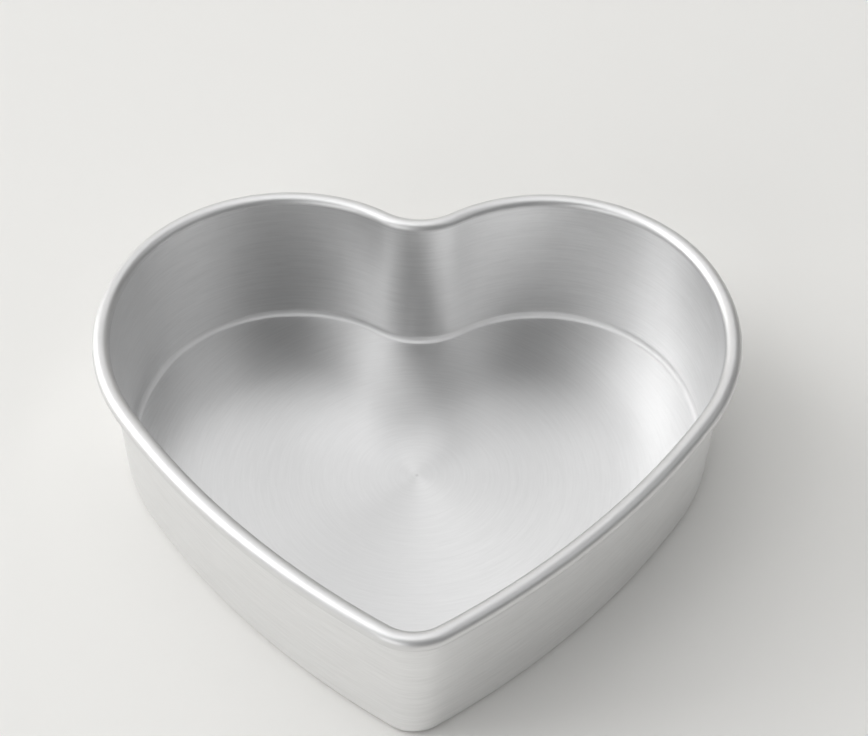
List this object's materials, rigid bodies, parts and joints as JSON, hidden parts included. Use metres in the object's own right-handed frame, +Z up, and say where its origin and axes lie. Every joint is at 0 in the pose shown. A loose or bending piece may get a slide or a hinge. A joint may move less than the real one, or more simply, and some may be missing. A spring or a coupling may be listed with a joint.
{
  "type": "heart cake pan",
  "caption": "Heart-shaped cake pan drawn from one aluminium sheet, with a flat floor, straight wall and rolled rim.",
  "frame": {"origin": "middle of the outline, on the surface the pan stands on", "axes": "+Z up out of the mouth, +X across the lobes, the tip towards -Y and the cleft towards +Y"},
  "size_m": [0.2146, 0.1972, 0.0556],
  "materials": {
    "pan_metal": "satin anodised, brushed, with turned lines on the floor"
  },
  "bodies": {
    "root": {"pan": "pan_metal"}
  },
  "joints": []
}
